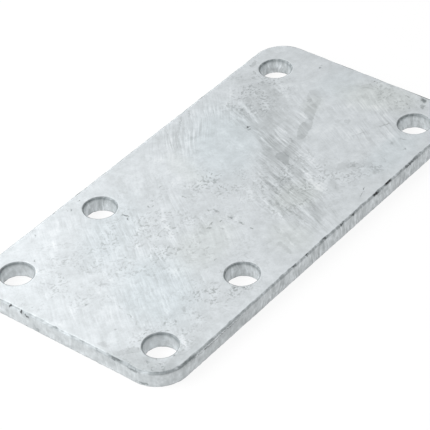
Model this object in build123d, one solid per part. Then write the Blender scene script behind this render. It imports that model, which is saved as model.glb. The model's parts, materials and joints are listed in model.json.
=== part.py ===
from build123d import *
import os

# Rectangular cover plate: a piece of hot-dip galvanised steel flat bar, blanked with
# round corners and punched for six bolts, in three rows of two.
#
# Frame, in millimetres: the origin is the centre of the underside. X runs along the
# length, from the end with the two close rows to the end with the single row. Y runs
# across the plate and Z up through its thickness.

# Blank: 90 x 6 flat bar, with about 0.1 mm of zinc on each face
plate_length = 180.0
plate_width = 90.0
plate_thickness = 6.2
corner_radius = 12.0

# Edges of the blank, as the blanking tool and the zinc leave them
top_edge_radius = 0.85
bottom_edge_radius = 0.3

# Bolt holes for M10, each punched from the top face
hole_diameter = 12.0
side_margin = 12.5
near_end_margin = 13.9
far_end_margin = 16.7
first_row_pitch = 44.5

# Section of a punched hole: the lip that the punch draws in at the top, the straight
# sheared land below it, and the slightly wider breakout at the underside, whose sharp
# edge is broken by a small chamfer
lip_radius = 0.7
breakout_height = 1.8
breakout_widening = 0.1
breakout_chamfer = 0.15

# Rows of holes along X, and their two columns along Y
near_row_x = near_end_margin - plate_length / 2
middle_row_x = near_row_x + first_row_pitch
far_row_x = plate_length / 2 - far_end_margin
column_y = plate_width / 2 - side_margin

hole_rows = (near_row_x, middle_row_x, far_row_x)
hole_columns = (-column_y, column_y)
hole_centres = [(x, y) for x in hole_rows for y in hole_columns]


def blank():
    """The plate before punching: a rounded rectangle with softened edges."""
    outline = RectangleRounded(plate_length, plate_width, corner_radius)
    body = extrude(outline, amount=plate_thickness)
    body = fillet(body.faces().sort_by(Axis.Z)[-1].edges(), radius=top_edge_radius)
    return fillet(body.faces().sort_by(Axis.Z)[0].edges(), radius=bottom_edge_radius)


def hole_tool():
    """What the punch takes out, as one turned form standing on the underside."""
    land_radius = hole_diameter / 2
    breakout_radius = land_radius + breakout_widening
    section = Polyline(
        (0, 0),
        (breakout_radius + breakout_chamfer, 0),
        (breakout_radius, breakout_chamfer),
        (land_radius, breakout_height),
        (land_radius, plate_thickness),
        (0, plate_thickness),
        close=True,
    )
    return revolve(Plane.XZ * make_face(section), axis=Axis.Z)


def draw_in_lips(plate):
    """Round the edge that each hole makes with the top face."""
    rims = plate.faces().sort_by(Axis.Z)[-1].inner_wires()
    return fillet([edge for rim in rims for edge in rim.edges()], radius=lip_radius)


def cover_plate():
    """The finished plate, with its holes punched and their top edges rounded."""
    tool = hole_tool()
    plate = blank() - [Pos(x, y, 0) * tool for x, y in hole_centres]
    return draw_in_lips(plate)


os.makedirs("parts", exist_ok=True)
export_step(cover_plate(), "parts/cover_plate.step")
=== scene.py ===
"""Looks of a hot-dip galvanised cover plate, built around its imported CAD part."""

import json
import logging
import math
from dataclasses import dataclass
from enum import Enum
from typing import Any

import bmesh
import bpy
from mathutils import Matrix, Vector, noise


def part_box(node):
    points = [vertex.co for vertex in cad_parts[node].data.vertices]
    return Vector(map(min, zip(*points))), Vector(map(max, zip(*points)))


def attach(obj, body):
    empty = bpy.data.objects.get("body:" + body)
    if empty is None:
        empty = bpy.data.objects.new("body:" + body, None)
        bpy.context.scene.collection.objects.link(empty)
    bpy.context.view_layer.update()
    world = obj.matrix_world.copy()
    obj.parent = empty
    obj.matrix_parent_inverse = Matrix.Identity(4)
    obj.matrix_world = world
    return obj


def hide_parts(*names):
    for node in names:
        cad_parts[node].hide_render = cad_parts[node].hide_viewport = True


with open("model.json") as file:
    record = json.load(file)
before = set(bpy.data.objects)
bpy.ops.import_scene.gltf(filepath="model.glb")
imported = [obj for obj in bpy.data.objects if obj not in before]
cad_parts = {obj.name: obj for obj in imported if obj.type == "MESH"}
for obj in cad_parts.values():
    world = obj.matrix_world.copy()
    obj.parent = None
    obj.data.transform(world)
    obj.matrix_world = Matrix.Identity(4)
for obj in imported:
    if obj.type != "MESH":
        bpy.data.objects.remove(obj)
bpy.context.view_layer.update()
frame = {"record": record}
log = logging.getLogger("cover_plate")

MM = 0.001

# Settings of a Map Range node that goes smoothly from its first value to its second
SMOOTH = {"interpolation_type": "SMOOTHSTEP", "clamp": False}


def linear(hex_colour: str) -> tuple[float, float, float, float]:
    """Turn an sRGB hex colour into linear RGBA.

    Args:
        hex_colour: the colour as "#rrggbb".

    Returns:
        Linear red, green and blue, and an alpha of 1.
    """
    channels = [int(hex_colour[i:i + 2], 16) / 255 for i in (1, 3, 5)]
    red, green, blue = (
        c / 12.92 if c <= 0.04045 else ((c + 0.055) / 1.055) ** 2.4 for c in channels
    )
    return red, green, blue, 1.0


def add_node(
    tree: bpy.types.NodeTree, kind: str, inputs: dict[Any, Any] | None = None, **settings: Any
) -> bpy.types.Node:
    """Add one node with its settings and links.

    Args:
        tree: the node tree that takes the node.
        kind: the shader node's type, without its ShaderNode prefix.
        inputs: for each input socket, by name or number, a constant, an output socket,
            or a node whose first output feeds it.
        settings: the node's own properties.

    Returns:
        The new node.
    """
    node = tree.nodes.new("ShaderNode" + kind)
    for name, value in settings.items():
        setattr(node, name, value)
    for socket, value in (inputs or {}).items():
        if isinstance(value, bpy.types.Node):
            value = value.outputs[0]
        if isinstance(value, bpy.types.NodeSocket):
            tree.links.new(value, node.inputs[socket])
        else:
            node.inputs[socket].default_value = value
    return node


@dataclass(frozen=True)
class Span:
    """A span of some value, over which something comes in.

    Attributes:
        start: the value at which there is none of it.
        end: the value at which all of it is there.
    """

    start: float
    end: float

    def sockets(self) -> dict[str, float]:
        """Give the span as inputs of a Map Range node."""
        return {"From Min": self.start, "From Max": self.end}


@dataclass(frozen=True)
class Grain:
    """An uneven pattern of soft spots.

    Attributes:
        size: the size of its spots, in millimetres.
        detail: how many finer patterns lie over it.
        roughness: how strong each finer pattern is against the one before.
    """

    size: float
    detail: float
    roughness: float = 0.5

    def sockets(self) -> dict[str, float]:
        """Give the pattern as inputs of a Noise Texture node."""
        return {"Scale": 1 / self.size, "Detail": self.detail, "Roughness": self.roughness}


@dataclass(frozen=True)
class Patch:
    """An elliptical patch of other tone, in millimetres on its own face of the plate.

    Attributes:
        x: the centre's first coordinate.
        y: the centre's second coordinate.
        length: the whole length.
        width: the whole width.
        turn: the direction of the length, in degrees from the first coordinate.
        tone: the change of brightness in its middle, as a share of white.
    """

    x: float
    y: float
    length: float
    width: float
    turn: float
    tone: float


@dataclass(frozen=True)
class Streaks:
    """A field of fine streaks that runs in one direction, where its patches lie.

    Attributes:
        turn: the direction of the streaks, in degrees from X.
        length: the usual length of a streak, in millimetres.
        width: its usual width, in millimetres.
        patches: where the streaks show, with their contrast as the patch's tone.
    """

    turn: float
    length: float
    width: float
    patches: tuple[Patch, ...]


class Edge(Enum):
    """How far a patch's full tone reaches before it fades, as a share of its radius."""

    SOFT = 0.3
    CRISP = 0.8
    SHARP = 0.2


@dataclass(frozen=True)
class DippedZinc:
    """Hot-dip galvanised steel: zinc from a bath, drained and wiped, then dulled by air.

    It gives the eye a pale blue-grey metal with a soft sheen, clouded in spots of a few
    millimetres, with brushed-looking drainage streaks and a darker matt grey where the
    iron alloy shows through. Tones are shares of white, lengths are millimetres.
    """

    name: str = "hot_dip_galvanised_steel"
    metallic: float = 0.75
    roughness: float = 0.5
    arris_roughness: float = 0.85
    base: float = 0.880
    wall: float = 0.80
    # The hole walls are a little lighter than the outer walls: painted light for the light
    # that comes up through the holes
    bore_wall: float = 0.82
    ramp: tuple[tuple[float, str], ...] = (
        (0.0, "#151213"), (0.25, "#423f40"), (0.5, "#7b8082"), (0.65, "#a0a6a8"),
        (0.8, "#c7ccce"), (0.9, "#e1e6e9"), (1.0, "#fafdff"),
    )
    shades: tuple[Patch, ...] = (
        Patch(11, -25, 50, 20, 72, -0.06),
        Patch(27, -6, 40, 20, 60, -0.06),
        Patch(39, 7, 42, 20, 42, -0.05),
        Patch(54, 22, 44, 30, 40, -0.035),
        Patch(-88, -34, 18, 40, 5, -0.075),
        Patch(-80, -42, 36, 10, 0, -0.05),
        Patch(51, -6, 14, 11, 0, 0.025),
        Patch(0, 24, 16, 34, -15, 0.015),
    )
    stains: tuple[Patch, ...] = (
        Patch(29, -4.5, 9.5, 4.6, 62, -0.075),
        Patch(38, -3.0, 18, 6.0, 12, -0.045),
        Patch(47.5, -0.2, 14, 5.0, 20, -0.07),
        Patch(58, 4, 13, 5.0, 25, -0.045),
        Patch(65.5, 8, 13, 5.5, 42, -0.035),
        Patch(60, 6.5, 20, 8, 28, -0.03),
        Patch(64, 9.2, 2.8, 2, 0, -0.05),
        Patch(25.5, -30, 7.4, 5.4, 30, -0.045),
        Patch(29, -27.6, 3.2, 1.3, 10, -0.06),
        Patch(36.5, -26, 6.4, 3.6, -20, -0.045),
        Patch(40, -29.3, 6.4, 4.2, -60, -0.055),
        Patch(43, -33.5, 6, 3, -60, -0.035),
        Patch(42, -37.8, 5.4, 2.4, 20, -0.05),
        Patch(32, -35, 4.4, 3, 0, -0.035),
        Patch(84, -4, 4.6, 3.4, 20, -0.04),
        Patch(82, -11, 5.4, 3.2, 20, -0.04),
        Patch(77, -6, 5, 2.6, 100, -0.025),
        Patch(71.5, -19, 3.2, 2.2, 30, -0.035),
        Patch(75.3, -19.6, 3.2, 2.2, 60, -0.035),
        Patch(61, -11, 4.2, 2.6, 60, -0.05),
        Patch(58.5, -8, 2.4, 2.2, 0, -0.035),
        Patch(19.6, 30.8, 5, 2, -10, -0.045),
        Patch(-59.5, 14.5, 9, 2.4, 52, -0.035),
        Patch(-87, -17, 5, 2.4, 110, -0.06),
        Patch(-84.5, -26, 12, 3.6, -40, -0.05),
        Patch(-12, -36, 9, 2.2, 80, -0.04),
        Patch(-6.5, -31, 12, 2.2, 68, -0.035),
        Patch(-17, 35, 10, 3, 45, -0.02),
        Patch(71, 40.8, 6, 1.6, 15, -0.07),
        Patch(67, 37.5, 3.4, 1.2, 60, -0.07),
    )
    marks: tuple[Patch, ...] = (
        Patch(-58.7, 33, 31, 0.5, -41, -0.06),
        Patch(87.6, -27, 5, 2.6, 60, -0.3),
        Patch(86.2, -20.5, 3, 1.0, 80, -0.2),
        Patch(-29.9, 22, 4, 1.0, 105, -0.42),
        Patch(-30.8, 19.9, 1.9, 0.8, 30, -0.36),
        Patch(-67.3, -2, 5, 0.6, 84, -0.09),
        Patch(-69.2, -8.5, 8, 0.6, 74, -0.09),
        Patch(-70.8, -15, 6, 0.6, 80, -0.11),
        Patch(-72.2, -18.6, 2.4, 0.6, 50, -0.11),
        Patch(-57, 41, 2.4, 0.8, 65, -0.22),
        Patch(-67.5, 31.8, 1.5, 0.8, 60, -0.16),
        Patch(-75, 21.6, 3.4, 0.6, 100, -0.08),
        Patch(-73.4, 18.3, 3.6, 0.7, 125, -0.07),
        Patch(-86.5, 16.2, 1.6, 0.8, -20, -0.14),
        Patch(-87, 20, 1.6, 0.6, 0, -0.1),
        Patch(-78.5, 14, 2.2, 0.8, 10, -0.08),
        Patch(-74.5, 1.7, 1.1, 0.9, 0, -0.14),
        Patch(-68.5, 9.3, 1.5, 0.6, 65, -0.12),
        Patch(-50, 12.3, 1.1, 0.8, 0, -0.12),
        Patch(-48, 6.5, 1.5, 0.8, 60, -0.12),
        Patch(-79, -15, 1.3, 0.9, 0, -0.12),
        Patch(-32.8, 41.5, 1.3, 1.0, 40, -0.32),
        Patch(-38.5, 40.1, 1.9, 1.1, 60, -0.24),
        Patch(-39.7, 41.2, 1.0, 0.8, 0, -0.14),
        Patch(-9.8, 22, 3.0, 0.7, 15, -0.18),
        Patch(-21.2, 18.2, 1.9, 0.7, 65, -0.2),
        Patch(-20, 17.1, 1.4, 1.2, 0, -0.14),
        Patch(-18.2, 19.2, 1.0, 0.9, 0, -0.13),
        Patch(-9.6, 11.2, 2.6, 1.1, 85, -0.18),
        Patch(-9.4, -3.5, 5, 1.1, 88, -0.15),
        Patch(-9.4, -10, 3.1, 1.3, 88, -0.2),
        Patch(-9.6, -15.2, 2.9, 1.0, 84, -0.18),
        Patch(-9.9, -20, 2.1, 1.1, 85, -0.2),
        Patch(-16.2, -6.4, 3.8, 1.0, 5, -0.17),
        Patch(-18.4, -7.5, 2.4, 1.3, -50, -0.13),
        Patch(-13, -8.4, 1.9, 1.1, 15, -0.2),
        Patch(-10.6, -1, 1.9, 1.2, -30, -0.13),
        Patch(-16, -11.5, 3.0, 1.0, 110, -0.09),
        Patch(-28, -13.8, 5, 0.8, 0, -0.07),
        Patch(-31, -20, 2.4, 0.7, 20, -0.1),
        Patch(-38.8, -34.8, 1.9, 0.9, 50, -0.26),
        Patch(-37.2, -37.3, 1.9, 1.1, -20, -0.24),
        Patch(-75, -24.5, 1.2, 1.2, 0, -0.24),
        Patch(-77, -25.1, 1.2, 0.8, 0, -0.2),
        Patch(-66.4, -26.7, 1.7, 1.1, -20, -0.15),
        Patch(-64, -29, 2.4, 1.4, 60, -0.12),
        Patch(-69.5, -29.5, 3.0, 0.9, -50, -0.16),
        Patch(-77.4, -39.5, 1.4, 0.9, 10, -0.26),
        Patch(36.9, 18, 3.6, 1.1, -25, -0.42),
        Patch(36, 16.6, 2.4, 1.0, -20, -0.16),
        Patch(83, 18.5, 1.5, 0.9, 40, -0.26),
        Patch(85, 19, 1.7, 0.5, 0, -0.12),
        Patch(87.6, -4.6, 1.3, 1.0, 50, -0.32),
        Patch(69.3, 41.8, 1.6, 0.9, 55, -0.26),
        Patch(30.6, -39.8, 1.6, 0.8, 30, -0.34),
        Patch(27.5, -40.9, 6, 0.5, 16, -0.16),
        Patch(57, -19.2, 8, 0.7, -24, -0.08),
        Patch(66.8, -23.9, 8, 0.8, -26, -0.11),
        Patch(58.6, -38.4, 1.5, 1.1, 40, -0.17),
        Patch(63.2, -34.5, 3.6, 0.9, 95, -0.11),
        Patch(59, -32.5, 2.6, 2.2, 0, -0.07),
        Patch(36, -34.3, 2, 0.7, 15, -0.11),
        Patch(44, 33, 4.6, 1.2, 35, -0.12),
        Patch(44.5, 26.6, 4.6, 1.2, 15, -0.11),
        Patch(25, 41, 11, 0.8, 35, -0.08),
        Patch(31, 41.5, 7, 0.9, 35, -0.1),
        Patch(17, 41.5, 5, 0.6, 70, -0.07),
        Patch(23, -19, 3.0, 1.1, 80, -0.13),
        Patch(11, -15, 3.4, 1.2, 75, -0.1),
        Patch(2, -20.5, 3.6, 0.9, 60, -0.1),
        Patch(5, -29, 9, 1.1, 80, -0.07),
        Patch(40, 0, 4.6, 1.0, 65, -0.09),
        Patch(37, -11, 9, 1.3, 60, -0.06),
        Patch(13.5, -9, 3.4, 1.2, 70, -0.08),
        Patch(82, -23, 1.6, 1.0, 60, -0.14),
        Patch(80.4, -25.4, 1.6, 1.0, 30, -0.16),
        Patch(78.8, -24.2, 1.3, 0.8, 0, -0.12),
        Patch(84, -29, 4.4, 2.6, 40, -0.16),
    )
    strokes: tuple[Patch, ...] = (
        Patch(-70.5, -38, 14, 2.6, 57, 0.09),
        Patch(-57, -19, 20, 0.7, 55, 0.045),
        Patch(-61, -22.5, 15, 0.7, 55, 0.04),
        Patch(-52.5, -22, 13, 0.7, 56, 0.035),
        Patch(-66, -26, 9, 0.8, 55, 0.03),
        Patch(22.6, 35, 8.4, 0.7, 48, 0.06),
        Patch(48.5, 19, 6.5, 0.8, 70, 0.07),
        Patch(53.5, 14.5, 6.5, 0.8, 68, 0.07),
        Patch(43, 7, 15, 0.8, 75, 0.06),
        Patch(32, 5, 9, 0.7, 95, 0.055),
        Patch(58.8, 27, 3.4, 0.8, 100, 0.06),
        Patch(55.3, 19.2, 3, 0.6, 115, 0.06),
        Patch(34, -9, 3.4, 0.9, 85, 0.06),
        Patch(40.2, 21.5, 6.5, 2.2, 75, 0.035),
        Patch(26.5, -17, 8.5, 0.9, 75, 0.06),
        Patch(1.5, -24, 9, 1.3, 65, 0.07),
        Patch(-8.5, -36, 8.5, 1.3, 66, 0.06),
        Patch(3, -34, 9, 1.4, 82, 0.045),
        Patch(13, -30, 8, 1.6, 75, 0.04),
        Patch(19, -29, 9, 0.8, 62, 0.045),
        Patch(22, -20.5, 5.5, 0.6, 50, 0.06),
        Patch(37, -10, 9, 0.8, 62, 0.045),
        Patch(53, -17, 8, 1.2, 62, 0.03),
        Patch(73.5, -15.5, 6, 1.4, 50, 0.04),
        Patch(-16, -2.5, 4.4, 0.6, 60, 0.045),
        Patch(-27, 24, 5, 0.8, 68, 0.035),
        Patch(83, -19, 4, 1.4, 60, 0.04),
    )
    speckles: tuple[Patch, ...] = (
        Patch(-86, -34, 18, 40, 0, 0.05),
        Patch(-20, 0, 150, 110, 0, 0.05),
        Patch(4, 6, 30, 30, 0, 0.10),
        Patch(-36, 6, 54, 50, 0, 0.075),
        Patch(-74, -32, 44, 30, 0, 0.14),
        Patch(-42, -32, 44, 26, 0, 0.16),
        Patch(56, 28, 40, 38, 0, 0.16),
        Patch(22, -20, 46, 44, 0, 0.13),
        Patch(84, -16, 20, 36, 0, 0.14),
        Patch(-70, 18, 50, 50, 0, 0.08),
        Patch(42, -32, 28, 22, 0, 0.12),
    )
    streaks: tuple[Streaks, ...] = (
        Streaks(54, 14, 0.8, (Patch(-50, 0, 140, 130, 0, 0.034),)),
        Streaks(51, 30, 3.2, (Patch(-40, 4, 150, 130, 0, 0.028),)),
        Streaks(74, 13, 0.8, (
            Patch(12, -24, 56, 38, 72, 0.055), Patch(30, -6, 44, 34, 60, 0.05),
            Patch(46, 12, 40, 54, 40, 0.07),
        )),
        Streaks(64, 20, 2.4, (
            Patch(14, -20, 70, 44, 66, 0.055), Patch(48, 16, 56, 60, 40, 0.08),
        )),
        Streaks(42, 16, 0.9, (Patch(28, 34, 90, 34, 0, 0.06),)),
        Streaks(60, 16, 0.9, (Patch(66, -16, 60, 64, 0, 0.05),)),
    )
    blue_zones: tuple[Patch, ...] = (
        Patch(-55, -14, 56, 40, 55, 0.4),
        Patch(24, 20, 66, 40, 40, 0.4),
        Patch(78, 6, 30, 24, 0, 0.2),
        Patch(56, -36, 50, 20, 0, 0.3),
        Patch(-40, 20, 60, 30, 30, 0.25),
    )
    olive_zones: tuple[Patch, ...] = (
        Patch(-27, -12, 44, 26, 10, 0.2),
        Patch(80, -12, 26, 44, 20, 0.3),
        Patch(-6, -34, 24, 22, 60, 0.2),
        Patch(14, -22, 18, 28, 80, 0.25),
        Patch(62, 6, 18, 12, 20, 0.15),
        Patch(4, 22, 14, 34, -20, 0.15),
    )
    # Marks on the long side, along X and up: dark notches and stains, and at 5.4 mm near the
    # corner a thin painted highlight along the rounded arris
    long_edge_marks_and_highlight: tuple[Patch, ...] = (
        Patch(-62, 4.9, 44, 0.5, 0, -0.28),
        Patch(-62, 5.4, 44, 0.5, 0, 0.1),
        Patch(31, 5.9, 4.4, 1.2, 0, -0.5),
        Patch(39, 6.1, 5.6, 1.2, 2, -0.55),
        Patch(10.5, 6.0, 3.6, 1.0, 0, -0.4),
        Patch(0, 5.9, 3.4, 1.0, 0, -0.35),
        Patch(17, 5.7, 3.4, 0.8, 0, -0.3),
        Patch(-18, 6.0, 3, 0.9, 0, -0.3),
        Patch(-10.5, 6.0, 2.4, 0.9, 0, -0.35),
        Patch(53, 5.9, 12, 0.8, 0, -0.25),
    )
    short_edge_marks: tuple[Patch, ...] = (
        Patch(23, 5.9, 1.8, 0.8, 0, -0.55),
        Patch(18, 5.8, 3.0, 0.9, 20, -0.5),
        Patch(15.4, 5.0, 3.0, 0.8, 30, -0.45),
        Patch(-24, 5.9, 8, 1.2, 0, -0.16),
        Patch(-32, 5.2, 7, 1.4, 0, -0.2),
        Patch(-17, 5.9, 5, 1.0, 0, -0.12),
        Patch(11, 1.2, 3.6, 2.6, 0, -0.12),
        Patch(-36, 1.0, 8, 1.4, 0, -0.2),
    )
    # Dark patches on the upper rims, on the top face's plan: stains, and along the near short
    # arris (x -89.9 mm) painted shade that dulls the lamp's highlight
    rim_stains_and_shade: tuple[Patch, ...] = (
        Patch(-86.3, -41.3, 15, 3.6, -45, -0.10),
        Patch(-78, -44.7, 16, 1.8, 0, -0.14),
        Patch(-89.7, -27, 20, 2.2, 90, -0.08),
        Patch(-89.9, 6, 100, 2.8, 90, -0.02),
        Patch(89.3, -26, 14, 2.4, 90, -0.4),
        Patch(88.9, 8, 6, 1.6, 90, -0.2),
        Patch(88.6, 36, 6, 1.6, 100, -0.2),
        Patch(-43.7, 44.6, 2.6, 1.4, 0, -0.4),
        Patch(-30, 44.6, 5, 1.4, 0, -0.35),
        Patch(42, 44.6, 4, 1.4, 0, -0.3),
    )
    # Painted shade: a broken dark line on the rounded outer arris and a dark line on the hole
    # lips, where the rounded rims turn towards darker surroundings
    arris_tone: float = -0.09
    lip_tone: float = -0.17
    # Painted shade: the darker band at the foot of the walls, where they meet the floor
    fringe_tone: float = -0.16

    # Uneven spots, and how strong they are or how far they push what is drawn: drainage
    # clouds of 2 cm, zinc crystals of 3 to 4 mm, specks of dross, which are finer on real
    # zinc but wouldn't show, and the wavy course of strokes and outlines
    clouds: Grain = Grain(22.0, 3.0)
    cloud_tone: float = 0.015
    mottle: Grain = Grain(3.6, 6.0, 0.72)
    mottle_tone: float = 0.055
    specks: Grain = Grain(1.1, 2.0, 0.6)
    clusters: Grain = Grain(7.0, 2.0)
    wisps: Grain = Grain(1.0, 4.0, 0.68)
    spread: Grain = Grain(11.0, 3.0)
    least_spread: float = 0.25
    most_spread: float = 1.2
    drift: Grain = Grain(7.0, 1.0)
    drift_reach: float = 2.2
    bend: Grain = Grain(16.0, 1.0)
    bend_reach: float = 1.6
    fray: Grain = Grain(1.1, 3.0)
    fray_reach: float = 1.2
    shear: Grain = Grain(1.0, 5.0, 0.65)
    shear_grain: tuple[float, float, float] = (0.9, 0.9, 0.12)
    shear_tone: float = 0.1
    wiped_share: float = 0.4
    blots: Grain = Grain(2.6, 4.0, 0.6)
    blot_tone: float = 0.06
    breaks: Grain = Grain(2.2, 4.0, 0.6)
    fringe_height: float = 0.6
    relief_strength: float = 0.25
    relief_depth: float = 0.03
    # Tints that the colour is multiplied by
    blue: str = "#f6fdff"
    olive: str = "#fcfdf3"
    # Spans of a noise's value
    noise_span: Span = Span(0.3, 0.7)
    mottle_span: Span = Span(0.25, 0.75)
    wisp_span: Span = Span(0.33, 0.67)
    spread_span: Span = Span(0.4, 0.6)
    speck_span: Span = Span(0.50, 0.64)
    cluster_span: Span = Span(0.34, 0.66)
    stain_span: Span = Span(0.2, 0.55)
    arris_breaks: Span = Span(0.38, 0.62)
    # Spans of the upright part of the normal, which is 1 on the top face
    top_side: Span = Span(0.0, 0.5)
    flat_side: Span = Span(0.955, 0.985)
    arris_start: Span = Span(0.995, 0.96)
    arris_end: Span = Span(0.66, 0.80)
    lip_slope: Span = Span(0.998, 0.97)
    shade_slope: Span = Span(0.999, 0.98)
    fringe_slope: Span = Span(0.97, 0.8)
    round_start: Span = Span(0.998, 0.985)
    round_end: Span = Span(0.1, 0.3)
    # Spans of place, in millimetres: along the plate, across it, up, and from a bore
    near_end: Span = Span(-87.0, -89.5)
    far_end: Span = Span(87.0, 89.5)
    wiped_length: Span = Span(-30.0, -55.0)
    short_side: Span = Span(-88.9, -89.2)
    long_side: Span = Span(-43.9, -44.2)
    lip_height: Span = Span(4.4, 6.0)
    shade_height: Span = Span(4.9, 5.5)
    bore_reach: Span = Span(1.4, 1.0)

    def dress(self, piece: bpy.types.Object, plate: "CoverPlate") -> None:
        """Give a piece this finish.

        Args:
            piece: the piece.
            plate: the plate's sizes.
        """
        material = bpy.data.materials.new(self.name)
        material.use_nodes = True
        ZincTree(self, material, plate).build()
        piece.data.materials.append(material)


class ZincTree:
    """Builds the shader nodes of a dipped-zinc finish for a punched plate."""

    def __init__(
        self, zinc: DippedZinc, material: bpy.types.Material, plate: "CoverPlate"
    ) -> None:
        """Empty the material's tree and set up the coordinates.

        Args:
            zinc: the finish.
            material: the material that takes it.
            plate: the plate's sizes.
        """
        self.zinc = zinc
        self.plate = plate
        self.tree = material.node_tree
        self.tree.nodes.clear()
        spot = add_node(self.tree, "TexCoord")
        self.place = add_node(
            self.tree, "VectorMath", {0: spot.outputs["Object"], "Scale": 1 / MM},
            operation="SCALE",
        )
        self.loose = self.displace(self.place, zinc.drift, zinc.drift_reach)
        self.ragged = self.displace(self.loose, zinc.fray, zinc.fray_reach)
        self.steady = self.displace(self.place, zinc.bend, zinc.bend_reach)
        self.near = self.displace(self.place, zinc.fray, zinc.fray_reach)
        spread = add_node(
            self.tree, "TexNoise", {"Vector": self.place, **zinc.spread.sockets()}
        )
        self.patchiness = add_node(self.tree, "MapRange", {
            "Value": spread, **zinc.spread_span.sockets(),
            "To Min": zinc.least_spread, "To Max": zinc.most_spread,
        })
        geometry = add_node(self.tree, "NewGeometry")
        facing = add_node(self.tree, "SeparateXYZ", {0: geometry.outputs["Normal"]})
        self.facing_up = facing.outputs["Z"]
        self.flatness = add_node(
            self.tree, "Math", {0: self.facing_up}, operation="ABSOLUTE"
        )
        self.axes = add_node(self.tree, "SeparateXYZ", {0: self.place})

    def displace(self, place: Any, grain: Grain, reach: float) -> Any:
        """Move a place about by a noise, so that what is drawn there gets uneven.

        Args:
            place: the place as a vector socket or node.
            grain: the noise.
            reach: the largest move, in millimetres.

        Returns:
            The node that gives the moved place.
        """
        spots = add_node(
            self.tree, "TexNoise", {"Vector": self.place, **grain.sockets()}
        )
        centred = add_node(
            self.tree, "VectorMath", {0: spots.outputs["Color"], 1: (0.5, 0.5, 0.5)},
            operation="SUBTRACT",
        )
        return add_node(
            self.tree, "VectorMath", {0: centred, 1: (2 * reach,) * 3, 2: place},
            operation="MULTIPLY_ADD",
        )

    def on_face(self, place: Any, first: str, second: str) -> Any:
        """Lay a place out on one face of the plate.

        Args:
            place: the place as a vector socket or node.
            first: the axis of the face's first coordinate.
            second: the axis of its second coordinate.

        Returns:
            The node that gives the place on the face.
        """
        parts = add_node(self.tree, "SeparateXYZ", {0: place})
        return add_node(
            self.tree, "CombineXYZ", {"X": parts.outputs[first], "Y": parts.outputs[second]}
        )

    def chain(self, kind: str, *values: Any, **settings: Any) -> Any:
        """Join values two by two through nodes that are alike, as in a long sum.

        Args:
            kind: the type of the nodes, as add_node takes it.
            values: two or more sockets, nodes or numbers.
            settings: the nodes' own properties.

        Returns:
            The last node.
        """
        result = values[0]
        for value in values[1:]:
            result = add_node(self.tree, kind, {0: result, 1: value}, **settings)
        return result

    def gather(self, patches: tuple[Patch, ...], place: Any, edge: Edge) -> Any:
        """Add up the tones of patches at a place.

        Args:
            patches: the patches.
            place: the place on the patches' own face.
            edge: how their outline fades.

        Returns:
            The sum of their tones.
        """
        total: Any = 0.0
        for patch in patches:
            reach_x, reach_y = patch.length / 2, patch.width / 2
            turned = add_node(self.tree, "VectorRotate", {
                "Vector": place, "Center": (patch.x, patch.y, 0),
                "Angle": -math.radians(patch.turn),
            }, rotation_type="Z_AXIS")
            scaled = add_node(
                self.tree, "VectorMath", {0: turned, 1: (1 / reach_x, 1 / reach_y, 0)},
                operation="MULTIPLY",
            )
            reach = add_node(
                self.tree, "VectorMath",
                {0: scaled, 1: (patch.x / reach_x, patch.y / reach_y, 0)},
                operation="DISTANCE",
            )
            tone = add_node(self.tree, "MapRange", {
                "Value": reach.outputs["Value"], "From Min": 1.0, "From Max": edge.value,
                "To Min": 0.0, "To Max": patch.tone,
            }, **SMOOTH)
            total = add_node(self.tree, "Math", {0: total, 1: tone}, operation="ADD")
        return total

    def streaks(self, field: Streaks, flat: Any) -> Any:
        """Draw one field of streaks.

        Args:
            field: the field.
            flat: the loosened place on the top face.

        Returns:
            The change of tone that the streaks make.
        """
        turned = add_node(self.tree, "Mapping", {
            "Vector": self.steady, "Rotation": (0, 0, math.radians(-field.turn)),
        })
        drawn = add_node(
            self.tree, "VectorMath",
            {0: turned, 1: (1 / field.length, 1 / field.width, 1 / field.width)},
            operation="MULTIPLY",
        )
        wisps = add_node(
            self.tree, "TexNoise", {"Vector": drawn, **self.zinc.wisps.sockets()}
        )
        contrast = add_node(self.tree, "MapRange", {
            "Value": wisps, **self.zinc.wisp_span.sockets(), "To Min": -1.0, "To Max": 1.0,
        })
        where = self.gather(field.patches, flat, Edge.SOFT)
        return self.chain("Math", contrast, where, self.patchiness, operation="MULTIPLY")

    def specks(self, flat: Any) -> Any:
        """Draw the clusters of small dark specks.

        Args:
            flat: the loosened place on the top face.

        Returns:
            The change of tone that the specks make.
        """
        zinc = self.zinc
        grains = add_node(
            self.tree, "TexNoise", {"Vector": self.loose, **zinc.specks.sockets()}
        )
        clusters = add_node(
            self.tree, "TexNoise", {"Vector": self.place, **zinc.clusters.sockets()}
        )
        return self.chain(
            "Math",
            add_node(
                self.tree, "MapRange", {"Value": grains, **zinc.speck_span.sockets()}, **SMOOTH
            ),
            add_node(
                self.tree, "MapRange", {"Value": clusters, **zinc.cluster_span.sockets()},
                **SMOOTH,
            ),
            self.gather(zinc.speckles, flat, Edge.SOFT), -1.0, operation="MULTIPLY",
        )

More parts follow.
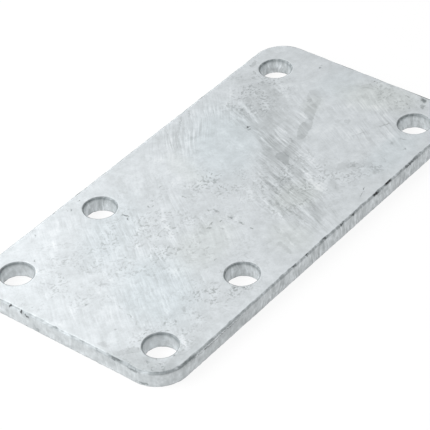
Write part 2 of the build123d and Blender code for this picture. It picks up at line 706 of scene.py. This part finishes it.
    def face_tone(self) -> Any:
        """Draw the tone of the two broad faces.

        Returns:
            The tone, as a share of white.
        """
        zinc = self.zinc
        flat_loose = self.on_face(self.loose, "X", "Y")
        flat_ragged = self.on_face(self.ragged, "X", "Y")
        flat_near = self.on_face(self.near, "X", "Y")
        clouds = add_node(
            self.tree, "TexNoise", {"Vector": self.place, **zinc.clouds.sockets()}
        )
        tone = add_node(self.tree, "MapRange", {
            "Value": clouds, **zinc.noise_span.sockets(),
            "To Min": zinc.base - zinc.cloud_tone, "To Max": zinc.base + zinc.cloud_tone,
        })
        mottle = add_node(
            self.tree, "TexNoise", {"Vector": self.place, **zinc.mottle.sockets()}
        )
        spots = add_node(self.tree, "MapRange", {
            "Value": mottle, **zinc.mottle_span.sockets(),
            "To Min": -zinc.mottle_tone, "To Max": zinc.mottle_tone,
        })
        streaks = [self.streaks(field, flat_loose) for field in zinc.streaks]
        tone = self.chain(
            "Math", tone, spots, *streaks, self.specks(flat_loose), operation="ADD"
        )
        on_top = add_node(
            self.tree, "MapRange", {"Value": self.facing_up, **zinc.top_side.sockets()},
            **SMOOTH,
        )
        uneven = add_node(
            self.tree, "MapRange", {"Value": mottle, **zinc.stain_span.sockets()}, **SMOOTH
        )
        stains = self.gather(zinc.stains, flat_ragged, Edge.CRISP)
        drawn = self.chain(
            "Math",
            self.gather(zinc.shades, flat_ragged, Edge.SOFT),
            self.chain("Math", stains, uneven, operation="MULTIPLY"),
            self.gather(zinc.marks, flat_near, Edge.SHARP),
            self.gather(zinc.strokes, flat_near, Edge.SHARP),
            operation="ADD",
        )
        on_top_only = self.chain("Math", drawn, on_top, operation="MULTIPLY")
        return self.chain("Math", tone, on_top_only, operation="ADD")

    def bore_distance(self) -> Any:
        """Measure how far a place lies from the wall of the nearest hole.

        Returns:
            The node that gives the distance, in millimetres.
        """
        across = add_node(self.tree, "Math", {0: self.axes.outputs["Y"]}, operation="ABSOLUTE")
        folded = add_node(self.tree, "CombineXYZ", {"X": self.axes.outputs["X"], "Y": across})
        gaps = []
        for x, y, radius in self.plate.holes:
            if y < 0:
                continue
            gap = add_node(
                self.tree, "VectorMath", {0: folded, 1: (x / MM, y / MM, 0)},
                operation="DISTANCE",
            ).outputs["Value"]
            gaps.append(self.chain("Math", gap, radius / MM, operation="SUBTRACT"))
        return self.chain("Math", *gaps, operation="MINIMUM")

    def wall_tone(self, in_bore: Any) -> Any:
        """Draw the tone of the sheared edges and the punched walls.

        Args:
            in_bore: 1 inside the holes and 0 on the outer edges.

        Returns:
            The tone, as a share of white.
        """
        zinc = self.zinc
        upright = add_node(
            self.tree, "VectorMath", {0: self.loose, 1: zinc.shear_grain},
            operation="MULTIPLY",
        )
        shear = add_node(self.tree, "TexNoise", {"Vector": upright, **zinc.shear.sockets()})
        grain = add_node(self.tree, "MapRange", {
            "Value": shear, **zinc.noise_span.sockets(),
            "To Min": -zinc.shear_tone, "To Max": zinc.shear_tone,
        })
        blots = add_node(
            self.tree, "TexNoise", {"Vector": self.place, **zinc.blots.sockets()}
        )
        blot = add_node(self.tree, "MapRange", {
            "Value": blots, **zinc.noise_span.sockets(),
            "To Min": -zinc.blot_tone, "To Max": zinc.blot_tone,
        })
        along, across = self.axes.outputs["X"], self.axes.outputs["Y"]
        near_end, far_end, wiped_length, short_side = (
            add_node(self.tree, "MapRange", {"Value": along, **span.sockets()}, **SMOOTH)
            for span in (zinc.near_end, zinc.far_end, zinc.wiped_length, zinc.short_side)
        )
        long_side = add_node(
            self.tree, "MapRange", {"Value": across, **zinc.long_side.sockets()}, **SMOOTH
        )
        short_edge = self.chain("Math", near_end, far_end, operation="MAXIMUM")
        # The hole walls take the lighter level, painted light for the light through the holes
        level = add_node(self.tree, "Mix", {
            0: in_bore, 2: zinc.wall, 3: zinc.bore_wall,
        }, data_type="FLOAT")
        wiped = self.chain("Math", short_edge, wiped_length, operation="MAXIMUM")
        left = add_node(
            self.tree, "Mix", {0: wiped, 2: 1.0, 3: zinc.wiped_share}, data_type="FLOAT"
        )
        grain = self.chain("Math", grain, left, operation="MULTIPLY")
        long_place = self.on_face(self.near, "X", "Z")
        short_place = self.on_face(self.near, "Y", "Z")
        # Long-side marks, with the painted highlight along the arris near the corner
        long_marks_and_highlight = self.chain(
            "Math", self.gather(zinc.long_edge_marks_and_highlight, long_place, Edge.SHARP), long_side,
            operation="MULTIPLY",
        )
        short_marks = self.chain(
            "Math", self.gather(zinc.short_edge_marks, short_place, Edge.SHARP), short_side,
            operation="MULTIPLY",
        )
        return self.chain(
            "Math", level, grain, blot, long_marks_and_highlight, short_marks, operation="ADD"
        )

    def rim_tone(self, in_bore: Any) -> Any:
        """Draw the painted shade of dark lines along the upper rims, and of a darker lower
        fringe where the walls meet the floor.

        Args:
            in_bore: 1 inside the holes and 0 on the outer edges.

        Returns:
            The change of tone.
        """
        zinc = self.zinc
        broken = add_node(
            self.tree, "TexNoise", {"Vector": self.place, **zinc.breaks.sockets()}
        )
        height = self.axes.outputs["Z"]
        arris_start, arris_end, lip_slope, shade_slope = (
            add_node(
                self.tree, "MapRange", {"Value": self.facing_up, **span.sockets()}, **SMOOTH
            )
            for span in (zinc.arris_start, zinc.arris_end, zinc.lip_slope, zinc.shade_slope)
        )
        breaks = add_node(
            self.tree, "MapRange", {"Value": broken, **zinc.arris_breaks.sockets()}, **SMOOTH
        )
        lip_height, shade_height = (
            add_node(self.tree, "MapRange", {"Value": height, **span.sockets()}, **SMOOTH)
            for span in (zinc.lip_height, zinc.shade_height)
        )
        # Painted shade along the rounded upper rims: a broken line on the outer arris and a
        # line on the hole lips
        arris = self.chain(
            "Math", arris_start, arris_end, breaks, zinc.arris_tone, operation="MULTIPLY"
        )
        lip = self.chain("Math", lip_slope, lip_height, zinc.lip_tone, operation="MULTIPLY")
        line = add_node(self.tree, "Mix", {0: in_bore, 2: arris, 3: lip}, data_type="FLOAT")
        # Painted shade: a darker band with a ragged top along the foot of the walls, where
        # they meet the floor
        centred = self.chain("Math", broken, 0.5, operation="SUBTRACT")
        ragged = self.chain("Math", centred, zinc.fringe_height * 2, operation="MULTIPLY")
        low = self.chain("Math", height, ragged, operation="ADD")
        fringe_height = add_node(self.tree, "MapRange", {
            "Value": low, "From Min": zinc.fringe_height, "From Max": 0.0,
        }, **SMOOTH)
        fringe_slope = add_node(
            self.tree, "MapRange", {"Value": self.flatness, **zinc.fringe_slope.sockets()},
            **SMOOTH,
        )
        fringe = self.chain(
            "Math", fringe_height, fringe_slope, zinc.fringe_tone, operation="MULTIPLY"
        )
        # Rim stains, and painted shade on the near short arris
        rim_place = self.on_face(self.near, "X", "Y")
        shade = self.chain(
            "Math", self.gather(zinc.rim_stains_and_shade, rim_place, Edge.SOFT), shade_height,
            shade_slope, operation="MULTIPLY",
        )
        return self.chain("Math", line, fringe, shade, operation="ADD")

    def tint(self, colour: Any, zones: tuple[Patch, ...], hue: str, place: Any) -> Any:
        """Tint a colour in some zones.

        Args:
            colour: the colour to tint.
            zones: the zones, with the tint's share as their tone.
            hue: the tint, as an sRGB hex colour that multiplies.
            place: the place on the top face.

        Returns:
            The tinted colour.
        """
        share = self.chain(
            "Math", self.gather(zones, place, Edge.SOFT), 1.0, operation="MINIMUM"
        )
        return add_node(
            self.tree, "Mix", {0: share, 6: colour, 7: linear(hue)},
            data_type="RGBA", blend_type="MULTIPLY",
        ).outputs[2]

    def build(self) -> None:
        """Join the parts into the shader."""
        zinc = self.zinc
        in_bore = add_node(self.tree, "MapRange", {
            "Value": self.bore_distance(), **zinc.bore_reach.sockets(),
        }, **SMOOTH)
        flat = add_node(
            self.tree, "MapRange", {"Value": self.flatness, **zinc.flat_side.sockets()},
            **SMOOTH,
        )
        tone = add_node(
            self.tree, "Mix", {0: flat, 2: self.wall_tone(in_bore), 3: self.face_tone()},
            data_type="FLOAT",
        )
        # Add the painted shade of the rims and of the foot of the walls, and the rim stains
        tone = self.chain("Math", tone, self.rim_tone(in_bore), operation="ADD")
        ramp = add_node(self.tree, "ValToRGB", {"Fac": tone})
        stops = ramp.color_ramp.elements
        while len(stops) < len(zinc.ramp):
            stops.new(0.5)
        for stop, (position, hue) in zip(stops, zinc.ramp):
            stop.position = position
            stop.color = linear(hue)
        flat_loose = self.on_face(self.loose, "X", "Y")
        colour = self.tint(ramp.outputs[0], zinc.blue_zones, zinc.blue, flat_loose)
        colour = self.tint(colour, zinc.olive_zones, zinc.olive, flat_loose)
        relief = add_node(self.tree, "Bump", {
            "Strength": zinc.relief_strength, "Distance": zinc.relief_depth * MM,
            "Height": tone,
        })
        round_start, round_end = (
            add_node(
                self.tree, "MapRange", {"Value": self.facing_up, **span.sockets()}, **SMOOTH
            )
            for span in (zinc.round_start, zinc.round_end)
        )
        rounded = self.chain("Math", round_start, round_end, operation="MULTIPLY")
        roughness = add_node(self.tree, "Mix", {
            0: rounded, 2: zinc.roughness, 3: zinc.arris_roughness,
        }, data_type="FLOAT")
        shader = add_node(self.tree, "BsdfPrincipled", {
            "Base Color": colour, "Metallic": zinc.metallic, "Roughness": roughness,
            "Normal": relief,
        })
        add_node(self.tree, "OutputMaterial", {0: shader})


@dataclass(frozen=True)
class EdgeRelief:
    """Unevenness of the plate's edges. Lengths are in metres.

    A sheared edge carries upright striations and long shallow waves, and its lower rim
    is ragged where the steel broke away. The zinc smooths the upper rim more.
    """

    striation_pitch: float = 0.9 * MM
    striation_height: float = 0.012 * MM
    wave_length: float = 9 * MM
    wave_height: float = 0.06 * MM
    ragged_pitch: float = 1.6 * MM
    ragged_height: float = 0.13 * MM
    ragged_band: float = 1.3 * MM
    chip_pitch: float = 2.6 * MM
    chip_depth: float = 0.12 * MM
    chip_band: float = 1.2 * MM
    bore_ragged_height: float = 0.1 * MM
    upright_stretch: float = 0.12
    wave_bias: float = 0.4
    chip_bias: float = 0.1
    chip_offset: tuple[float, float, float] = (7, 3, 1)
    bore_chip_share: float = 0.6

    def outer_wall(self, place: Vector, height: float, from_top: float) -> float:
        """Give the move along the normal of a point on the outer wall or its rims.

        Args:
            place: where the point is.
            height: its height over the underside.
            from_top: its depth below the top face.

        Returns:
            The move, mostly inwards.
        """
        upright = Vector((place.x, place.y, place.z * self.upright_stretch))
        move = noise.noise(upright / self.striation_pitch) * self.striation_height
        move += (noise.noise(place / self.wave_length) - self.wave_bias) * self.wave_height
        low = max(0.0, 1 - height / self.ragged_band)
        move += noise.noise(place / self.ragged_pitch) * self.ragged_height * low
        high = max(0.0, 1 - from_top / self.chip_band)
        chips = noise.noise(place / self.chip_pitch + Vector(self.chip_offset))
        chip = min(0.0, chips + self.chip_bias)
        return move + chip * self.chip_depth * 2 * high

    def hole_wall(self, place: Vector, height: float, from_top: float) -> float:
        """Give the move along the normal of a point on the wall or rims of a hole.

        Args:
            place: where the point is.
            height: its height over the underside.
            from_top: its depth below the top face.

        Returns:
            The move, positive into the hole.
        """
        upright = Vector((place.x, place.y, place.z * self.upright_stretch))
        move = noise.noise(upright / self.striation_pitch) * self.striation_height
        low = max(0.0, 1 - height / (2 * self.ragged_band))
        move += noise.noise(place / self.ragged_pitch) * self.bore_ragged_height * low
        high = max(0.0, 1 - from_top / self.chip_band)
        chip = noise.noise(place / self.chip_pitch) * self.chip_depth * self.bore_chip_share
        return move + chip * high


@dataclass
class CoverPlate:
    """The plate as a detailed mesh: its faces, rounded arrises and punched holes.

    Lengths are in metres. The overall size and the holes come from the frame.
    """

    name: str = "cover_plate"
    corner_radius: float = 12 * MM
    top_round: float = 0.85 * MM
    bottom_round: float = 0.3 * MM
    lip_round: float = 0.7 * MM
    breakout_round: float = 0.2 * MM
    point_spacing: float = 0.4 * MM
    border_widths: tuple[float, ...] = (1.3 * MM, 0.5 * MM, 0.6 * MM, 0.6 * MM)
    wall_rings: int = 12
    top_segments: int = 6
    lip_segments: int = 5
    bottom_segments: int = 3
    breakout_segments: int = 2
    # Shares that allow for rounding where a point or an edge is told by its place
    on_circle: float = 1.05
    within_round: float = 0.98
    # The most that a wall's normal has of Z, and the least that a flat face's has, or the
    # direction of an upright edge
    wall_below: float = 0.1
    flat_above: float = 0.9
    relief: EdgeRelief = EdgeRelief()

    def __post_init__(self) -> None:
        """Read the plate's box and its holes from the frame."""
        self.low, self.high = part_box(self.name)
        self.holes = self.read_holes()

    def read_holes(self) -> list[tuple[float, float, float]]:
        """List the bolt holes of the record's patterns.

        Returns:
            The centre's X and Y and the radius of each hole.
        """
        holes = []
        for mount in frame["record"]["mounts"]:
            if mount["kind"] != "bolt_pattern":
                continue
            x, y, _ = mount["pos_m"]
            dims = mount["dims"]
            half_x = dims.get("spacing_x_mm", 0) * MM / 2
            half_y = dims["spacing_y_mm"] * MM / 2
            for dx in sorted({-half_x, half_x}):
                for dy in (-half_y, half_y):
                    holes.append((x + dx, y + dy, dims["hole_r_mm"] * MM))
        return holes

    def rim_distance(self, x: float, y: float) -> float:
        """Measure how far a point of the plan lies outside the outline, below 0 inside."""
        half = (self.high - self.low) / 2
        over_x = abs(x) - (half.x - self.corner_radius)
        over_y = abs(y) - (half.y - self.corner_radius)
        beyond = math.hypot(max(over_x, 0), max(over_y, 0))
        return beyond + min(max(over_x, over_y), 0) - self.corner_radius

    def build(self) -> bpy.types.Object:
        """Model the plate and link it into the scene.

        Returns:
            The plate's object.
        """
        mesh = bmesh.new()
        self.draw_outline(mesh)
        self.draw_holes(mesh)
        self.fill_and_border(mesh)
        self.raise_walls(mesh)
        self.round_rims(mesh)
        self.ring_walls(mesh)
        self.roughen_edges(mesh)
        data = bpy.data.meshes.new("galvanised_plate")
        for face in mesh.faces:
            face.smooth = True
        mesh.to_mesh(data)
        mesh.free()
        plate = bpy.data.objects.new("galvanised_plate", data)
        bpy.context.scene.collection.objects.link(plate)
        return plate

    def draw_outline(self, mesh: bmesh.types.BMesh) -> None:
        """Draw the closed outline of the blank, with round corners, in the base plane."""
        bmesh.ops.create_grid(mesh, x_segments=1, y_segments=1, size=0.5)
        size = self.high - self.low
        bmesh.ops.scale(mesh, vec=(size.x, size.y, 1), verts=mesh.verts)
        arc_points = round(self.corner_radius * math.pi / 2 / self.point_spacing)
        bmesh.ops.bevel(
            mesh, geom=mesh.verts[:], offset=self.corner_radius, offset_type="OFFSET",
            segments=arc_points, profile=0.5, affect="VERTICES", material=-1,
        )
        for edge in [e for e in mesh.edges if e.calc_length() > self.corner_radius]:
            cuts = round(edge.calc_length() / self.point_spacing) - 1
            bmesh.ops.subdivide_edges(mesh, edges=[edge], cuts=cuts)
        bmesh.ops.delete(mesh, geom=mesh.faces[:], context="FACES_ONLY")

    def draw_holes(self, mesh: bmesh.types.BMesh) -> None:
        """Draw the circle of each hole in the base plane."""
        for x, y, radius in self.holes:
            bmesh.ops.create_circle(
                mesh, cap_ends=False, radius=radius,
                segments=round(2 * math.pi * radius / self.point_spacing),
                matrix=Matrix.Translation((x, y, 0)),
            )

    def fill_and_border(self, mesh: bmesh.types.BMesh) -> None:
        """Fill between the outline and the holes, with even borders along both."""
        bmesh.ops.triangle_fill(mesh, edges=mesh.edges[:], use_beauty=True, normal=(0, 0, 1))
        if mesh.faces[:][0].normal.z < 0:
            bmesh.ops.reverse_faces(mesh, faces=mesh.faces[:])
        inner = mesh.faces[:]
        for width in self.border_widths:
            bmesh.ops.inset_region(
                mesh, faces=inner, thickness=width, use_boundary=True, use_even_offset=True
            )

    def raise_walls(self, mesh: bmesh.types.BMesh) -> None:
        """Extrude the flat form to the plate's thickness."""
        base = mesh.faces[:]
        raised = bmesh.ops.extrude_face_region(mesh, geom=base, use_keep_orig=True)["geom"]
        lifted = [g for g in raised if isinstance(g, bmesh.types.BMVert)]
        thickness = Vector((0, 0, self.high.z - self.low.z))
        bmesh.ops.translate(mesh, vec=thickness, verts=lifted)
        bmesh.ops.recalc_face_normals(mesh, faces=mesh.faces[:])

    def is_hole_edge(self, edge: bmesh.types.BMEdge) -> bool:
        """Tell whether an edge belongs to a hole and not to the outline."""
        middle = (edge.verts[0].co + edge.verts[1].co) / 2
        return any(
            math.hypot(middle.x - x, middle.y - y) < r * self.on_circle
            for x, y, r in self.holes
        )

    def round_rims(self, mesh: bmesh.types.BMesh) -> None:
        """Round the four kinds of rim: outline and holes, above and below."""
        groups: dict[tuple[bool, bool], list[bmesh.types.BMEdge]] = {}
        for edge in filter(self.is_rim, mesh.edges):
            kind = edge.verts[0].co.z > self.high.z / 2, self.is_hole_edge(edge)
            groups.setdefault(kind, []).append(edge)
        for kind, radius, segments in (
            ((True, False), self.top_round, self.top_segments),
            ((True, True), self.lip_round, self.lip_segments),
            ((False, False), self.bottom_round, self.bottom_segments),
            ((False, True), self.breakout_round, self.breakout_segments),
        ):
            bmesh.ops.bevel(
                mesh, geom=groups[kind], offset=radius, offset_type="OFFSET",
                segments=segments, profile=0.5, affect="EDGES", material=-1,
                clamp_overlap=False, loop_slide=True,
            )

    def is_rim(self, edge: bmesh.types.BMEdge) -> bool:
        """Tell whether an edge joins a flat face to a wall."""
        if len(edge.link_faces) != 2:
            return False
        upright = [abs(face.normal.z) for face in edge.link_faces]
        return min(upright) < self.wall_below and max(upright) > self.flat_above

    def ring_walls(self, mesh: bmesh.types.BMesh) -> None:
        """Divide the walls into level rings, so that they can take relief."""
        uprights = [
            e for e in mesh.edges
            if abs((e.verts[0].co - e.verts[1].co).normalized().z) > self.flat_above
            and e.calc_length() > self.top_round * 2
        ]
        bmesh.ops.subdivide_edges(
            mesh, edges=uprights, cuts=self.wall_rings - 1, use_grid_fill=True
        )

    def roughen_edges(self, mesh: bmesh.types.BMesh) -> None:
        """Give the walls and rims the small unevenness of blanking, punching and zinc."""
        mesh.normal_update()
        moves = []
        for vert in mesh.verts:
            x, y, z = vert.co
            from_top = self.high.z - z
            if self.rim_distance(x, y) > -self.top_round * self.within_round:
                move = self.relief.outer_wall(vert.co, z, from_top)
            elif self.bore_distance(x, y) < self.lip_round * self.within_round:
                move = self.relief.hole_wall(vert.co, z, from_top)
            else:
                continue
            moves.append((vert, vert.normal * move))
        for vert, move in moves:
            vert.co += move

    def bore_distance(self, x: float, y: float) -> float:
        """Measure how far a point of the plan lies from the wall of the nearest hole."""
        return min(math.hypot(x - cx, y - cy) - r for cx, cy, r in self.holes)


@dataclass(frozen=True)
class Softbox:
    """A square soft lamp that faces the plate. Lengths are in metres."""

    name: str
    place: tuple[float, float, float]
    side: float
    watts: float

    def hang(self) -> None:
        """Put the lamp in the scene."""
        data = bpy.data.lights.new(self.name, "AREA")
        data.shape = "SQUARE"
        data.size = self.side
        data.energy = self.watts
        lamp = bpy.data.objects.new(self.name, data)
        lamp.location = self.place
        lamp.rotation_mode = "QUATERNION"
        lamp.rotation_quaternion = (-lamp.location).to_track_quat("-Z", "Y")
        bpy.context.scene.collection.objects.link(lamp)


@dataclass
class Studio:
    """Floor, light and camera. Lengths are in metres and angles in degrees."""

    azimuth: float = -48.972
    elevation: float = 38.633
    roll: float = -4.252
    distance: float = 779.54 * MM
    lens_mm: float = 181.55
    target: tuple[float, float, float] = (-8.55 * MM, -2.0 * MM, 3.1 * MM)
    sensor: float = 36
    clip_start: float = 50 * MM
    floor_reach: float = 3.0
    floor_drop: float = 0.12 * MM
    floor_colour: str = "#f0f0f0"
    white_share: float = 0.9
    world: float = 0.57
    lamps: tuple[Softbox, ...] = (
        Softbox("left_softbox", (-0.45, 0.35, 0.5), 0.5, 6.1),
        Softbox("back_softbox", (0.1, 0.7, 0.5), 0.5, 1.6),
    )

    def place_camera(self) -> None:
        """Set the camera at its angle round the plate and make it the scene's own."""
        azimuth, elevation = math.radians(self.azimuth), math.radians(self.elevation)
        back = Vector((
            math.sin(azimuth) * math.cos(elevation),
            -math.cos(azimuth) * math.cos(elevation),
            math.sin(elevation),
        ))
        data = bpy.data.cameras.new("studio_camera")
        data.lens = self.lens_mm
        data.sensor_width = self.sensor
        data.clip_start = self.clip_start
        camera = bpy.data.objects.new("studio_camera", data)
        camera.rotation_mode = "QUATERNION"
        camera.location = Vector(self.target) + back * self.distance
        level = (-back).to_track_quat("-Z", "Y")
        tilt = Matrix.Rotation(math.radians(self.roll), 3, "Z").to_quaternion()
        camera.rotation_quaternion = level @ tilt
        bpy.context.scene.collection.objects.link(camera)
        bpy.context.scene.camera = camera

    def lay_floor(self) -> None:
        """Lay the pale floor that the plate rests on."""
        mesh = bmesh.new()
        bmesh.ops.create_grid(mesh, x_segments=1, y_segments=1, size=self.floor_reach)
        data = bpy.data.meshes.new("floor")
        mesh.to_mesh(data)
        mesh.free()
        floor = bpy.data.objects.new("floor", data)
        floor.location.z = -self.floor_drop
        bpy.context.scene.collection.objects.link(floor)
        material = bpy.data.materials.new("white_paper")
        material.use_nodes = True
        tree = material.node_tree
        tree.nodes.clear()
        paper = add_node(tree, "BsdfDiffuse", {"Color": linear(self.floor_colour)})
        white = add_node(tree, "Emission", {"Color": (1, 1, 1, 1), "Strength": 1.0})
        path = add_node(tree, "LightPath")
        seen = path.outputs["Is Camera Ray"]
        for ray in ("Is Glossy Ray", "Is Transmission Ray"):
            seen = add_node(
                tree, "Math", {0: seen, 1: path.outputs[ray]}, operation="MAXIMUM"
            )
        share = add_node(tree, "Math", {0: seen, 1: self.white_share}, operation="MULTIPLY")
        mix = add_node(tree, "MixShader", {0: share, 1: paper, 2: white})
        add_node(tree, "OutputMaterial", {0: mix})
        data.materials.append(material)

    def light(self) -> None:
        """Light the set with a pale world and two soft lamps."""
        world = bpy.data.worlds.new("studio")
        bpy.context.scene.world = world
        world.use_nodes = True
        tree = world.node_tree
        tree.nodes.clear()
        glow = add_node(tree, "Background", {"Color": (1, 1, 1, 1), "Strength": self.world})
        add_node(tree, "OutputWorld", {0: glow})
        for lamp in self.lamps:
            lamp.hang()

    def build(self) -> None:
        """Set up the whole studio."""
        self.place_camera()
        self.lay_floor()
        self.light()
        scene = bpy.context.scene
        scene.view_settings.view_transform = "Standard"


def main() -> None:
    """Build the plate and the studio, and report each piece."""
    Studio().build()
    plate = CoverPlate()
    piece = plate.build()
    DippedZinc().dress(piece, plate)
    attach(piece, "root")
    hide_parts(plate.name)
    log.info("%s: %d faces", piece.name, len(piece.data.polygons))


if __name__ == "__main__":
    logging.basicConfig(level=logging.INFO, format="%(message)s")
    main()
